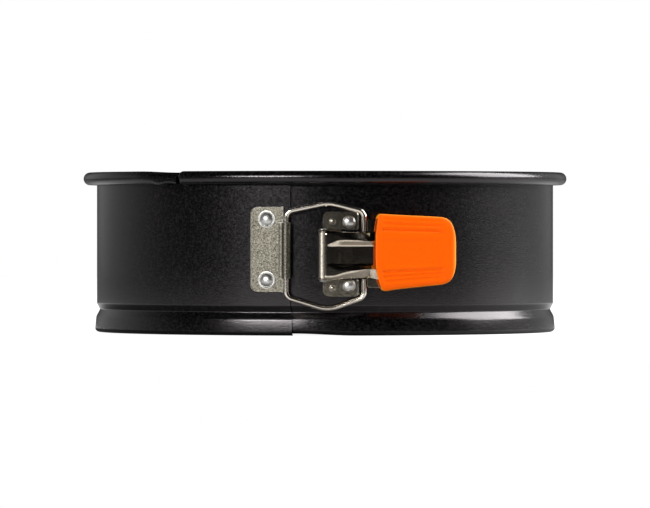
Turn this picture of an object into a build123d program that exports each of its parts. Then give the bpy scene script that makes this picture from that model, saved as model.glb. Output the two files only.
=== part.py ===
from build123d import *
import os
from math import asin, cos, degrees, radians, sin, sqrt

# Springform cake pan, 20 cm across and 7 cm high, closed and latched.
# Millimetres. The origin is on the pan's vertical axis, on the plane of the table.
# +Z is up, the latch faces -Y, and the lever's grip points to +X.

# Band: one strip of steel sheet, bent round and lapped over itself at the front
SHEET = 0.6
HEIGHT = 70.0
WALL_R = 100.2         # middle of the sheet in the straight wall
LIP_R = 97.8           # inner end of the lip that the base plate lies over
BEAD_R = 101.1         # widest part of the groove that holds the base plate
BEAD_Z = 6.0
NECK_R = 98.8          # narrow neck above the groove
NECK_Z = 9.5
SHOULDER_Z = 12.1
CURL_R = 2.5           # middle of the sheet in the rolled rim
CURL_FLAT = 0.9        # flat between the rim's two bends
TANGENT_AT = -30.0     # direction where the inner end leaves the circle
INNER_SHIFT = 1.5      # how far the inner end's centre lies towards that direction
OUTER_END = -98.0      # the end that lies outside, under the catch plate's edge
INNER_END = -128.1     # the end that lies inside
OUTER_TOP = 63.9       # the outer end stops below the inner end's rolled rim
LAP_LIP_Z = 1.1        # the inner end's lip is trimmed where it lies over the other

# Base plate
BASE_R = 98.8
BASE_FLANGE_Z = 1.2
BASE_STEP_R = 94.6
BASE_FLOOR_Z = 3.0

# Latch sheet metal, rivets and wire
PLATE = 0.8
PLATE_GAP = 0.1        # plate to wall
SHANK_R = 1.5
RIVET_HOLE_R = 1.6
WIRE_R = 1.1
BORE_R = 1.2           # bore of the catch plate's knuckle
PIN_R = 1.0
PIN_BORE_R = 1.08

# Catch plate, on the band's outer end
CATCH_LEFT = -31.8
CATCH_RIGHT = -17.5
CATCH_Z = (18.4, 54.9)
CATCH_RIVET_X = -24.8
CATCH_RIVET_Z = (23.6, 49.4)
KNUCKLE_X = -16.4
KNUCKLE_Z = (24.2, 48.0)

# Lever bracket, on the band's inner end
BRACKET_LEFT = -1.0
BRACKET_RIGHT = 14.2
BRACKET_NECK = 6.0     # right edge of the strip that joins its two arms
BRACKET_Z = (16.5, 52.8)
ARM_Z = (23.9, 45.0)   # inner edges of the two arms
BRACKET_RIVET_X = 10.2
BRACKET_RIVET_Z = (21.3, 48.3)

# Lever: channel-shaped pressing with a flat tab inside the grip
LEVER_Z = 34.2         # its middle height
PIVOT = (-0.9, -103.5)
HOOK = (16.6, -101.9)  # hole that the bail hooks into
WEB_Y = -106.7         # outer face of the web
WEB_LEFT = -0.4
HALF_AT_PIVOT = 10.75
HALF_AT_HOOK = 10.0
EAR_R = 2.3
LUG_R = 2.0
WING_LEFT = 17.85
WING_Z = (20.4, 49.5)
TAB_Y = -103.1         # middle of the tab's sheet before it slopes
SLOPE = 10.0           # the grip end slopes towards the wall
SLOPE_AT = 20.0
TAB_LENGTH = 30.0

# Grip
GRIP_LEFT = 21.3
GRIP_RIGHT = 55.6
GRIP_Z = 35.2
GRIP_HALF = 16.3       # at the mouth
GRIP_HALF_END = 14.4
GRIP_THICK = 8.0

# Bail
BAIL_CORNER_Z = (16.3, 52.7)
BAIL_APEX_Z = (10.8, 56.5)
BAIL_APEX_X = 1.6
BAIL_BEND = 3.2
BAIL_TIP_GAP = 0.15    # each tip stops this far outside the lever's flange

os.makedirs("parts", exist_ok=True)

INNER_AXIS = (
    INNER_SHIFT * cos(radians(TANGENT_AT)),
    INNER_SHIFT * sin(radians(TANGENT_AT)),
)
INNER_WALL = WALL_R + SHEET / 2 - INNER_SHIFT   # outer face of the inner end
OUTER_WALL = WALL_R + SHEET / 2


def at_front(axis, radius, x):
    """Y of a circle about the given vertical axis, on the front side, at this x."""
    return axis[1] - sqrt(radius**2 - (x - axis[0])**2)


def sector(inner, outer, bottom, top, start, sweep):
    """Block between two radii and two heights, from one direction round to another."""
    flat = Pos((inner + outer) / 2, (bottom + top) / 2) * Rectangle(outer - inner, top - bottom)
    return revolve((Plane.XZ * flat).rotate(Axis.Z, start), axis=Axis.Z, revolution_arc=sweep)


def prism(sketch, bottom, top):
    """Plan outline raised between two heights."""
    return Pos(0, 0, bottom) * extrude(sketch, top - bottom, dir=(0, 0, 1))


def through_front(sketch):
    """Front outline in x and z, taken right through the latch in y."""
    return Pos(0, -90, 0) * extrude(Plane.XZ * sketch, 30, dir=(0, -1, 0))


def rounded_front(left, right, bottom, top, radius):
    """Front outline of a rounded rectangle."""
    box = RectangleRounded(right - left, top - bottom, radius)
    return Pos((left + right) / 2, (bottom + top) / 2) * box


# ---- band
def band_section(inward):
    """Section of the band: lip, groove, neck, wall and rolled rim, all moved inward."""
    wall_r = WALL_R - inward
    curl_z = HEIGHT - SHEET / 2 - CURL_R
    inner = wall_r + CURL_R
    wall = FilletPolyline(
        (LIP_R - inward, SHEET / 2),
        (BEAD_R - inward, SHEET / 2),
        (BEAD_R - inward - 0.7, BEAD_Z),
        (NECK_R - inward, NECK_Z),
        (wall_r, SHOULDER_Z),
        (wall_r, curl_z),
        radius=[1.6, 5.0, 1.2, 2.0],
    )
    rise = CenterArc((inner, curl_z), CURL_R, 180, -90)
    flat = Line((inner, curl_z + CURL_R), (inner + CURL_FLAT, curl_z + CURL_R))
    fall = CenterArc((inner + CURL_FLAT, curl_z), CURL_R, 90, -180)
    back = Line((inner + CURL_FLAT, curl_z - CURL_R), (inner, curl_z - CURL_R))
    tuck = CenterArc((inner, curl_z), CURL_R, -90, -28)
    curl = rise.edges() + flat.edges() + fall.edges() + back.edges() + tuck.edges()
    return make_face(offset(Wire(wall.edges() + curl), amount=SHEET / 2, side=Side.BOTH))


def rivet_plane(axis, seat, x, z):
    """Plane of a rivet's seat on a plate's outer face, square to the wall."""
    lean = asin((x - axis[0]) / seat)
    return Plane(origin=(x, at_front(axis, seat, x), z), z_dir=(sin(lean), -cos(lean), 0))


def rivet_hole(axis, seat, x, z):
    """Clearance cutter on a rivet's own axis."""
    return rivet_plane(axis, seat, x, z) * Cylinder(RIVET_HOLE_R, 4.4)


outer_part = revolve(
    (Plane.XZ * band_section(0)).rotate(Axis.Z, TANGENT_AT),
    axis=Axis.Z,
    revolution_arc=360 + OUTER_END - TANGENT_AT,
)
outer_part -= sector(90, 115, OUTER_TOP, HEIGHT + 5, INNER_END, OUTER_END - INNER_END + 1)

inner_part = revolve(
    (Plane.XZ * band_section(INNER_SHIFT)).rotate(Axis.Z, INNER_END),
    axis=Axis.Z,
    revolution_arc=TANGENT_AT - INNER_END,
)
inner_part -= sector(85, 110, -1, LAP_LIP_Z, INNER_END - 1, OUTER_END - INNER_END + 3)
inner_part = Pos(INNER_AXIS[0], INNER_AXIS[1], 0) * inner_part

catch_seat = OUTER_WALL + PLATE_GAP + PLATE
bracket_seat = INNER_WALL + PLATE_GAP + PLATE
for z in CATCH_RIVET_Z:
    outer_part -= rivet_hole((0, 0), catch_seat, CATCH_RIVET_X, z)
for z in BRACKET_RIVET_Z:
    inner_part -= rivet_hole(INNER_AXIS, bracket_seat, BRACKET_RIVET_X, z)

spring_band = outer_part + inner_part

# ---- base plate: flat flange that drops into the groove, stepped up to the floor
base_line = FilletPolyline(
    (BASE_R - SHEET / 2, BASE_FLANGE_Z + SHEET / 2),
    (BASE_STEP_R + 1.0, BASE_FLANGE_Z + SHEET / 2),
    (BASE_STEP_R, BASE_FLOOR_Z + SHEET / 2),
    (BASE_STEP_R - 12, BASE_FLOOR_Z + SHEET / 2),
    radius=[0.7, 0.7],
)
base_edge = make_face(offset(base_line, amount=SHEET / 2, side=Side.BOTH))
base_plate = revolve(Plane.XZ * base_edge, axis=Axis.Z)
base_plate += Pos(0, 0, BASE_FLOOR_Z + SHEET / 2) * Cylinder(BASE_STEP_R - 11, SHEET)

# ---- catch plate: curved to the wall, its right edge rolled into a knuckle for the bail
plate_in = OUTER_WALL + PLATE_GAP
plate_mid = plate_in + PLATE / 2
curl_mid = BORE_R + PLATE / 2
knuckle_r = plate_mid + curl_mid
KNUCKLE = (KNUCKLE_X, -sqrt(knuckle_r**2 - KNUCKLE_X**2))
knuckle_at = -90 + degrees(asin(KNUCKLE_X / knuckle_r))

catch_shell = Cylinder(catch_seat, HEIGHT) - Cylinder(plate_in, HEIGHT + 1)
catch_shell = Pos(0, 0, HEIGHT / 2) * catch_shell
catch_front = rounded_front(CATCH_LEFT, CATCH_RIGHT + 6, CATCH_Z[0], CATCH_Z[1], 3.0)
catch_front -= Pos(CATCH_RIGHT + 10, HEIGHT / 2) * Rectangle(20, HEIGHT)
catch_plate = catch_shell & through_front(catch_front)

strip = CenterArc((0, 0), plate_mid, knuckle_at - 2.5, 2.5)
roll = CenterArc(KNUCKLE, curl_mid, knuckle_at + 180, -300)
rolled = make_face(offset(Wire(strip.edges() + roll.edges()), amount=PLATE / 2, side=Side.BOTH))
catch_plate += prism(rolled, KNUCKLE_Z[0], KNUCKLE_Z[1])
for z in CATCH_RIVET_Z:
    catch_plate -= rivet_hole((0, 0), catch_seat, CATCH_RIVET_X, z)


# ---- rivets: domed head outside, shank, flat set head inside the wall
def rivet(axis, seat, x, z, dome_r, dome_h, skirt_r, inner_face, inner_thick):
    """Rivet square to the wall, its domed head seated on the plate's outer face."""
    section = Polyline(
        (0, inner_face - inner_thick - seat),
        (2.5, inner_face - inner_thick - seat),
        (2.5, inner_face - seat),
        (SHANK_R, inner_face - seat),
        (SHANK_R, 0.02),
        (skirt_r, 0.02),
        (skirt_r, 0.35),
        (dome_r, 0.45),
    )
    cap = dome_h - 0.45
    ball = (dome_r**2 + cap**2) / (2 * cap)
    half = asin(dome_r / ball) / 2
    dome = ThreePointArc(
        (dome_r, 0.45),
        (ball * sin(half), dome_h - ball + ball * cos(half)),
        (0, dome_h),
    )
    close = Line((0, dome_h), (0, inner_face - inner_thick - seat))
    flat = make_face(section.edges() + dome.edges() + close.edges())
    return rivet_plane(axis, seat, x, z) * revolve(Plane.XZ * flat, axis=Axis.Z)


wall_in = WALL_R - SHEET / 2
for name, z in zip(("lower", "upper"), CATCH_RIVET_Z):
    catch_rivet = rivet((0, 0), catch_seat, CATCH_RIVET_X, z, 2.65, 1.6, 3.9, wall_in - 0.05, 0.3)
    export_step(catch_rivet, f"parts/catch_rivet_{name}.step")

# ---- lever bracket: C-shaped plate with a raised tongue rolled round the pivot pin
bracket_in = INNER_WALL + PLATE_GAP
bracket_shell = Cylinder(bracket_seat, HEIGHT) - Cylinder(bracket_in, HEIGHT + 1)
bracket_shell = Pos(INNER_AXIS[0], INNER_AXIS[1], HEIGHT / 2) * bracket_shell
bracket_front = rounded_front(BRACKET_LEFT, BRACKET_RIGHT, BRACKET_Z[0], BRACKET_Z[1], 2.6)
window_z = (ARM_Z[0] + ARM_Z[1]) / 2
window = RectangleRounded(20, ARM_Z[1] - ARM_Z[0], 1.2)
bracket_front -= Pos(BRACKET_NECK + 10, window_z) * window
lever_bracket = bracket_shell & through_front(bracket_front)

barrel_half = HALF_AT_PIVOT - PLATE - 0.25
barrel_mid = PIN_BORE_R + PLATE / 2
tongue_y = PIVOT[1] + barrel_mid
plate_y = at_front(INNER_AXIS, bracket_in + PLATE / 2, BRACKET_NECK - 2)
tongue = FilletPolyline(
    (BRACKET_NECK - 1.0, plate_y + 0.02),
    (BRACKET_NECK - 2.2, plate_y),
    (BRACKET_NECK - 4.0, tongue_y),
    (PIVOT[0], tongue_y),
    radius=[0.9, 0.9],
)
tongue_roll = CenterArc(PIVOT, barrel_mid, 90, 290)
tongue_path = Wire(tongue.edges() + tongue_roll.edges())
tongue_flat = make_face(offset(tongue_path, amount=PLATE / 2, side=Side.BOTH))
lever_bracket += prism(tongue_flat, LEVER_Z - barrel_half, LEVER_Z + barrel_half)
for z in BRACKET_RIVET_Z:
    lever_bracket -= rivet_hole(INNER_AXIS, bracket_seat, BRACKET_RIVET_X, z)

inner_face = INNER_WALL - SHEET - 0.05
for name, z in zip(("lower", "upper"), BRACKET_RIVET_Z):
    bracket_rivet = rivet(INNER_AXIS, bracket_seat, BRACKET_RIVET_X, z, 2.6, 1.6, 2.85, inner_face, 0.5)
    export_step(bracket_rivet, f"parts/bracket_rivet_{name}.step")

# ---- pivot pin: round pin with a flat head outside each of the lever's ears
head_thick = 0.55
pin_half = HALF_AT_PIVOT + head_thick
pivot_pin = Pos(PIVOT[0], PIVOT[1], LEVER_Z) * Cylinder(PIN_R, 2 * pin_half)
for side in (-1, 1):
    head_z = LEVER_Z + side * (HALF_AT_PIVOT + 0.03 + head_thick / 2)
    pivot_pin += Pos(PIVOT[0], PIVOT[1], head_z) * Cylinder(1.8, head_thick)

# ---- lever: web, two flanges with ears and hook lugs, pressed recess, wings and tab
end_x = SLOPE_AT + 6.0
rise_y = 6.0 * sin(radians(SLOPE))
web_end_y = WEB_Y + 1.5


def side_outline(depth):
    """Side view of the channel, with the web's face set in by depth."""
    web = Polygon(
        (WEB_LEFT + depth, PIVOT[1]),
        (WEB_LEFT + depth, WEB_Y + depth),
        (12.0, WEB_Y + depth),
        (SLOPE_AT, web_end_y + depth),
        (end_x - depth, web_end_y + rise_y + depth),
        (end_x - depth, TAB_Y + rise_y),
        (SLOPE_AT, TAB_Y),
        (WING_LEFT, TAB_Y),
        (WING_LEFT, PIVOT[1] + EAR_R),
        (PIVOT[0], PIVOT[1] + EAR_R),
        (PIVOT[0], PIVOT[1]),
        align=None,
    )
    return web


def front_outline(inset):
    """Front view of the channel: wide at the pivot, narrower at the hooks."""
    left = PIVOT[0] - 6
    low = LEVER_Z - HALF_AT_PIVOT + inset
    low_hook = LEVER_Z - HALF_AT_HOOK + inset
    high = LEVER_Z + HALF_AT_PIVOT - inset
    high_hook = LEVER_Z + HALF_AT_HOOK - inset
    return Polygon(
        (left, low),
        (4.0, low),
        (8.0, low_hook),
        (end_x + 2, low_hook),
        (end_x + 2, high_hook),
        (8.0, high_hook),
        (4.0, high),
        (left, high),
        align=None,
    )


ear = Pos(*PIVOT) * Circle(EAR_R)
corner = Pos(WEB_LEFT + 1.0, WEB_Y + 1.0) * Circle(1.0)
ear_hull = make_hull(ear.edges() + corner.edges())
lug = make_hull((Pos(*HOOK) * Circle(LUG_R)).edges() + (Pos(HOOK[0], HOOK[1] - 2.5) * Circle(LUG_R)).edges())
side_view = side_outline(0) + ear_hull + lug
channel = prism(side_view, 0, HEIGHT) & through_front(front_outline(0))
hollow_side = side_outline(PLATE) + Pos(1, WEB_Y + PLATE + 5) * Rectangle(22, 10)
hollow_side += Pos(15, PIVOT[1] + 3) * Rectangle(9, 6)
hollow = prism(hollow_side, 0, HEIGHT) & through_front(front_outline(PLATE))
channel -= hollow

recess_left = 2.6
recess_depth = 1.3
recess_half = 5.2


def recess(depth, half):
    """Pressed channel along the web, following it down into the grip."""
    line = Polygon(
        (recess_left, WEB_Y - 1),
        (recess_left, WEB_Y),
        (recess_left + 2.4, WEB_Y + depth),
        (12.0, WEB_Y + depth),
        (SLOPE_AT, web_end_y + depth),
        (end_x - 0.4, web_end_y + rise_y + depth),
        (end_x - 0.4, WEB_Y - 1),
        align=None,
    )
    return prism(line, LEVER_Z - half, LEVER_Z + half)


recess_floor = recess(recess_depth + PLATE, recess_half + PLATE) & prism(side_view, 0, HEIGHT)
channel += recess_floor
channel -= recess(recess_depth, recess_half)

slope_dir = (cos(radians(SLOPE)), sin(radians(SLOPE)))
tab_end = (SLOPE_AT + TAB_LENGTH * slope_dir[0], TAB_Y + TAB_LENGTH * slope_dir[1])
tab_line = Polyline((WING_LEFT + PLATE / 2, TAB_Y), (SLOPE_AT, TAB_Y), tab_end)
tab_side = make_face(offset(tab_line, amount=PLATE / 2, side=Side.BOTH))
wing_mid = (WING_Z[0] + WING_Z[1]) / 2
wing_front = Pos(21.5, wing_mid) * RectangleRounded(9.0, WING_Z[1] - WING_Z[0], 1.0)
tab_front = Pos(35.0, GRIP_Z) * RectangleRounded(34.0, 23.0, 4.0)
tab = prism(tab_side, 0, HEIGHT) & through_front(wing_front + tab_front)
lever = channel + tab
lever -= Pos(PIVOT[0], PIVOT[1], HEIGHT / 2) * Cylinder(PIN_BORE_R, HEIGHT)
for side in (-1, 1):
    hook_z = LEVER_Z + side * (HALF_AT_HOOK - PLATE / 2)
    lever -= Pos(HOOK[0], HOOK[1], hook_z) * Cylinder(WIRE_R + 0.15, PLATE + 0.4)

# ---- grip: rounded rubber sleeve over the tab, its axes along and across the tab
grip_plane = Plane(
    origin=(SLOPE_AT, TAB_Y, GRIP_Z),
    x_dir=(slope_dir[0], slope_dir[1], 0),
    z_dir=(slope_dir[1], -slope_dir[0], 0),
)
grip_start = (GRIP_LEFT - SLOPE_AT) / slope_dir[0] + 0.7
grip_end = (GRIP_RIGHT - SLOPE_AT) / slope_dir[0]
grip_outline = Polygon(
    (grip_start, -GRIP_HALF),
    (grip_end, -GRIP_HALF_END),
    (grip_end, GRIP_HALF_END),
    (grip_start, GRIP_HALF),
    align=None,
)
end_corners = grip_outline.vertices().sort_by(Axis.X)[2:]
mouth_corners = grip_outline.vertices().sort_by(Axis.X)[:2]
grip_outline = fillet(end_corners, 7.5)
mouth_corners = grip_outline.vertices().sort_by(Axis.X)[:2]
grip_outline = fillet(mouth_corners, 1.8)
grip_block = Pos(0, 0, -GRIP_THICK / 2) * extrude(grip_outline, GRIP_THICK)
long_edges = grip_block.faces().sort_by(Axis.Z)[0].edges() + grip_block.faces().sort_by(Axis.Z)[-1].edges()
grip_block = fillet(long_edges, 1.5)
tab_pocket = Pos(15.6, 0, 0) * Box(30.4, 23.4, 1.1)
tab_pocket += Pos(3.2, (wing_mid - GRIP_Z), 0) * Box(6.4, WING_Z[1] - WING_Z[0] + 0.4, 1.1)
nose_pocket = Pos(3.4, LEVER_Z - GRIP_Z, 0.85) * Box(6.8, 2 * HALF_AT_HOOK + 0.4, 3.0)
lever_grip = grip_plane * (grip_block - tab_pocket - nose_pocket)

# ---- bail: one bent wire, left leg in the knuckle, tips at the lever's two hook holes
bail_span = sqrt((HOOK[0] - KNUCKLE[0])**2 + (HOOK[1] - KNUCKLE[1])**2)
apex_u = BAIL_APEX_X - KNUCKLE[0]
tip_z = HALF_AT_HOOK + BAIL_TIP_GAP
bail_points = [
    (bail_span, LEVER_Z + tip_z),
    (bail_span, BAIL_CORNER_Z[1]),
    (apex_u, BAIL_APEX_Z[1]),
    (0, BAIL_CORNER_Z[1]),
    (0, BAIL_CORNER_Z[0]),
    (apex_u, BAIL_APEX_Z[0]),
    (bail_span, BAIL_CORNER_Z[0]),
    (bail_span, LEVER_Z - tip_z),
]
run_dir = ((HOOK[0] - KNUCKLE[0]) / bail_span, (HOOK[1] - KNUCKLE[1]) / bail_span)
bail_world = [(KNUCKLE[0] + u * run_dir[0], KNUCKLE[1] + u * run_dir[1], z) for u, z in bail_points]
bends = [BAIL_BEND, 14.0, BAIL_BEND, BAIL_BEND, 14.0, BAIL_BEND]
bail_path = FilletPolyline(*bail_world, radius=bends)
bail_start = Plane(origin=bail_world[0], z_dir=(0, 0, 1))
bail = sweep(bail_start * Circle(WIRE_R), path=bail_path)

for name, shape in (
    ("base_plate", base_plate),
    ("spring_band", spring_band),
    ("catch_plate", catch_plate),
    ("lever_bracket", lever_bracket),
    ("pivot_pin", pivot_pin),
    ("lever", lever),
    ("lever_grip", lever_grip),
    ("bail", bail),
):
    export_step(shape, f"parts/{name}.step")
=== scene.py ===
import math
import bpy
import bmesh
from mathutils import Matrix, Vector


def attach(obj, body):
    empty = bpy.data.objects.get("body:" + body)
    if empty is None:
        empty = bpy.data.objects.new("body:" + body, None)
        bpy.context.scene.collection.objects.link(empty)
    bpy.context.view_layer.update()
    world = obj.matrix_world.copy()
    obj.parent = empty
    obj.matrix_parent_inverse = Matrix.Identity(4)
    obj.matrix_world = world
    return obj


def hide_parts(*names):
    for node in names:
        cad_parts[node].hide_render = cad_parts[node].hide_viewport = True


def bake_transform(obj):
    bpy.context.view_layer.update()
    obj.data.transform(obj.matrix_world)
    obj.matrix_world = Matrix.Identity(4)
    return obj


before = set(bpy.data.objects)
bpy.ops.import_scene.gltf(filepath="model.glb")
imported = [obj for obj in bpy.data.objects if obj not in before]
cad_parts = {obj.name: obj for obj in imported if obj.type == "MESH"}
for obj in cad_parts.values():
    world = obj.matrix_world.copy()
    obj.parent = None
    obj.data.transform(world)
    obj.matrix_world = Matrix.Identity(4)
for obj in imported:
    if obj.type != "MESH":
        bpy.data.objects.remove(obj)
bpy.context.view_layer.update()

# ------------------------------------------------------------------ spring band
# One strip of 0.6 mm steel sheet, rolled to a rim at the top and pressed to a neck, a groove
# and a turned-in lip at the bottom. Its ends lap at the front: the end with the catch plate lies
# outside, and the other end's rim runs on over it. Both faces carry a black non-stick coat.
MM = 0.001
SHEET = 0.6
WALL_R, BEAD_R, NECK_R, LIP_R = 100.2, 101.1, 98.8, 97.8
CURL_R, CURL_Z = 2.5, 67.2
LAP_TOP = 63.9
OUTER_END, INNER_END, TANGENT_AT = 262.0, -127.7, -30.0
INNER_SHIFT = 1.5
tangent = math.radians(TANGENT_AT)
INNER_AXIS = (INNER_SHIFT * math.cos(tangent), INNER_SHIFT * math.sin(tangent))
RIM_END = 360 + INNER_END


def rounded(points, radii, step=9.0):
    """Runs between points, with each inner corner turned into an arc of its radius."""
    pts = [Vector(p).to_3d() for p in points]
    line = [pts[0]]
    for before, corner, after, radius in zip(pts, pts[1:], pts[2:], radii):
        a, b = (before - corner).normalized(), (after - corner).normalized()
        open_angle = a.angle(b, 0.0)
        turn = math.pi - open_angle
        if turn < 0.01 or radius <= 0:
            line.append(corner)
            continue
        limit = 0.48 * min((before - corner).length, (after - corner).length)
        run = min(radius / math.tan(open_angle / 2), limit)
        radius = run * math.tan(open_angle / 2)
        middle = corner + (a + b).normalized() * (radius / math.sin(open_angle / 2))
        first, last = corner + a * run - middle, corner + b * run - middle
        count = max(2, math.ceil(math.degrees(turn) / step))
        for k in range(count + 1):
            t = k / count
            reach = first * math.sin((1 - t) * turn) + last * math.sin(t * turn)
            line.append(middle + reach / math.sin(turn))
    line.append(pts[-1])
    return line


def arc(cx, cy, radius, start, sweep, step=9.0):
    """Points round part of a circle, both ends included."""
    count = max(1, math.ceil(abs(sweep) / step))
    angles = [math.radians(start + sweep * k / count) for k in range(count + 1)]
    return [Vector((cx + radius * math.cos(a), cy + radius * math.sin(a), 0)) for a in angles]


def two_sides(line, thick):
    """The two faces of a sheet, seen in section, from the line down its middle."""
    left, right = [], []
    for k, p in enumerate(line):
        along = (line[min(k + 1, len(line) - 1)] - line[max(k - 1, 0)]).normalized()
        across = Vector((-along.y, along.x, 0))
        left.append(p + across * (thick / 2))
        right.append(p - across * (thick / 2))
    return left, right


def solid(name, verts, faces, material, sharp=32.0):
    """A closed mesh piece in millimetres, with smooth faces and its real edges kept crisp."""
    mesh = bpy.data.meshes.new(name)
    mesh.from_pydata([tuple(c * MM for c in v) for v in verts], [], faces)
    work = bmesh.new()
    work.from_mesh(mesh)
    bmesh.ops.remove_doubles(work, verts=work.verts, dist=1e-7)
    bmesh.ops.recalc_face_normals(work, faces=work.faces)
    work.to_mesh(mesh)
    work.free()
    mesh.polygons.foreach_set("use_smooth", [True] * len(mesh.polygons))
    mesh.set_sharp_from_angle(angle=math.radians(sharp))
    mesh.materials.append(material)
    piece = bpy.data.objects.new(name, mesh)
    bpy.context.scene.collection.objects.link(piece)
    return piece


def ease(t):
    """Soft start and stop between 0 and 1."""
    t = min(1.0, max(0.0, t))
    return t * t * (3 - 2 * t)


def bump(x, middle, width):
    """Smooth hump of height 1."""
    return math.exp(-((x - middle) / width) ** 2)


# -- materials: small helpers for node trees, then the skin that every finish uses
def put(tree, kind, **values):
    """Adds a shader node; values name its settings, or its inputs with spaces as underscores."""
    made = tree.nodes.new(kind)
    for key, value in values.items():
        if hasattr(made, key):
            setattr(made, key, value)
        else:
            made.inputs[key.replace("_", " ")].default_value = value
    return made


def finish(name):
    """A new material, its node tree and its Principled shader."""
    material = bpy.data.materials.new(name)
    material.use_nodes = True
    tree = material.node_tree
    return material, tree, tree.nodes["Principled BSDF"]


def group(name, inputs, outputs):
    """A shader node group with named sockets."""
    tree = bpy.data.node_groups.new(name, "ShaderNodeTree")
    for label, value in inputs.items():
        made = tree.interface.new_socket(name=label, in_out="INPUT", socket_type="NodeSocketFloat")
        made.default_value = value
    for label in outputs:
        tree.interface.new_socket(name=label, in_out="OUTPUT", socket_type="NodeSocketFloat")
    return tree, tree.nodes.new("NodeGroupInput"), tree.nodes.new("NodeGroupOutput")


def use(tree, shared, **values):
    """Places a shared group in a material, with its own values."""
    made = tree.nodes.new("ShaderNodeGroup")
    made.node_tree = shared
    for key, value in values.items():
        made.inputs[key.replace("_", " ")].default_value = value
    return made


def ramp(tree, source, low, high, color_low, color_high):
    """Colour or value that runs between two places of a mask."""
    made = tree.nodes.new("ShaderNodeValToRGB")
    made.color_ramp.elements[0].position = low
    made.color_ramp.elements[0].color = color_low
    made.color_ramp.elements[1].position = high
    made.color_ramp.elements[1].color = color_high
    tree.links.new(source, made.inputs["Fac"])
    return made


def span(tree, source, start, end, low, high, smooth=False):
    """Carries a value from one range to another, held at both ends."""
    made = put(tree, "ShaderNodeMapRange", interpolation_type="SMOOTHSTEP" if smooth else "LINEAR")
    limits = {"From Min": start, "From Max": end, "To Min": low, "To Max": high}
    for key, value in limits.items():
        made.inputs[key].default_value = value
    tree.links.new(source, made.inputs["Value"])
    return made.outputs["Result"]


def reckon(tree, operation, *values, clamp=False):
    """Math node; each value is a number or the socket that it comes from."""
    made = put(tree, "ShaderNodeMath", operation=operation, use_clamp=clamp)
    for socket, value in zip(made.inputs, values):
        if isinstance(value, (int, float)):
            socket.default_value = value
        else:
            tree.links.new(value, socket)
    return made.outputs[0]


def noise(tree, place, scale, **settings):
    """Noise over a place, with its scale taken from a socket."""
    made = put(tree, "ShaderNodeTexNoise", **settings)
    tree.links.new(place, made.inputs["Vector"])
    tree.links.new(scale, made.inputs["Scale"])
    return made.outputs["Fac"]


def dress(tree, shader, skin, strength, depth, gloss, at, dark, light):
    """Lets a skin drive a finish's relief and gloss, and gives back its colour."""
    relief = put(tree, "ShaderNodeBump", Strength=strength, Distance=depth)
    tree.links.new(skin.outputs["Height"], relief.inputs["Height"])
    tree.links.new(relief.outputs["Normal"], shader.inputs["Normal"])
    tree.links.new(span(tree, skin.outputs["Fleck"], 0.0, 1.0, *gloss), shader.inputs["Roughness"])
    return ramp(tree, skin.outputs["Fleck"], *at, (*dark, 1), (*light, 1)).outputs["Color"]


# Sprayed or pressed surfaces: a fine pebble and, over it, a slower swell
PER_METRE = 1000.0
skin_sizes = {"Size mm": 0.5, "Swell mm": 6.0, "Swell share": 0.4}
pebble, g_in, g_out = group("pebble skin", skin_sizes, ["Height", "Fleck"])
place = put(pebble, "ShaderNodeTexCoord").outputs["Object"]
fine_scale = reckon(pebble, "DIVIDE", PER_METRE, g_in.outputs["Size mm"])
slow_scale = reckon(pebble, "DIVIDE", PER_METRE, g_in.outputs["Swell mm"])
fine = noise(pebble, place, fine_scale, Detail=2.0, Roughness=0.55)
slow = noise(pebble, place, slow_scale, Detail=1.0)
fleck = noise(pebble, place, reckon(pebble, "MULTIPLY", fine_scale, 0.55), Detail=3.0, Roughness=0.7)
swell = reckon(pebble, "MULTIPLY", slow, g_in.outputs["Swell share"])
pebble.links.new(reckon(pebble, "ADD", fine, swell), g_out.inputs["Height"])
pebble.links.new(fleck, g_out.inputs["Fleck"])

# Black non-stick coat: fine pebble, a few paler flecks, slightly uneven gloss
coat_black, tree, shader = finish("black non-stick coat")
skin = use(tree, pebble, Size_mm=0.6, Swell_mm=9.0, Swell_share=0.12)
dark, light = (0.0003, 0.0003, 0.0004), (0.0105, 0.0092, 0.0102)
tone = dress(tree, shader, skin, 0.5, 0.00008, (0.10, 0.34), (0.46, 0.72), dark, light)
tree.links.new(tone, shader.inputs["Base Color"])
shader.inputs["Specular IOR Level"].default_value = 0.50
shader.inputs["Specular Tint"].default_value = (1.0, 0.93, 0.965, 1)

# -- the strip's section, from the lip up to the tucked-in end of the rim
low_run = rounded(
    [
        (LIP_R, SHEET / 2),
        (BEAD_R, SHEET / 2),
        (BEAD_R - 0.6, 6.8),
        (NECK_R, 9.9),
        (WALL_R, 12.7),
        (WALL_R, 30.0),
    ],
    [1.6, 3.2, 1.2, 1.6],
)
wall_run = [Vector((WALL_R, z, 0)) for z in (40.0, 50.0, 58.0, LAP_TOP)]
curl_run = arc(WALL_R + CURL_R, CURL_Z, CURL_R, 180, -90)
curl_run += arc(WALL_R + CURL_R + 0.9, CURL_Z, CURL_R, 90, -180)
curl_run += arc(WALL_R + CURL_R, CURL_Z, CURL_R, -90, -28)
section = low_run + wall_run + curl_run
band_inner, band_outer = two_sides(section, SHEET)
lap_at = len(low_run) + len(wall_run) - 1
top = len(section) - 1


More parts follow.
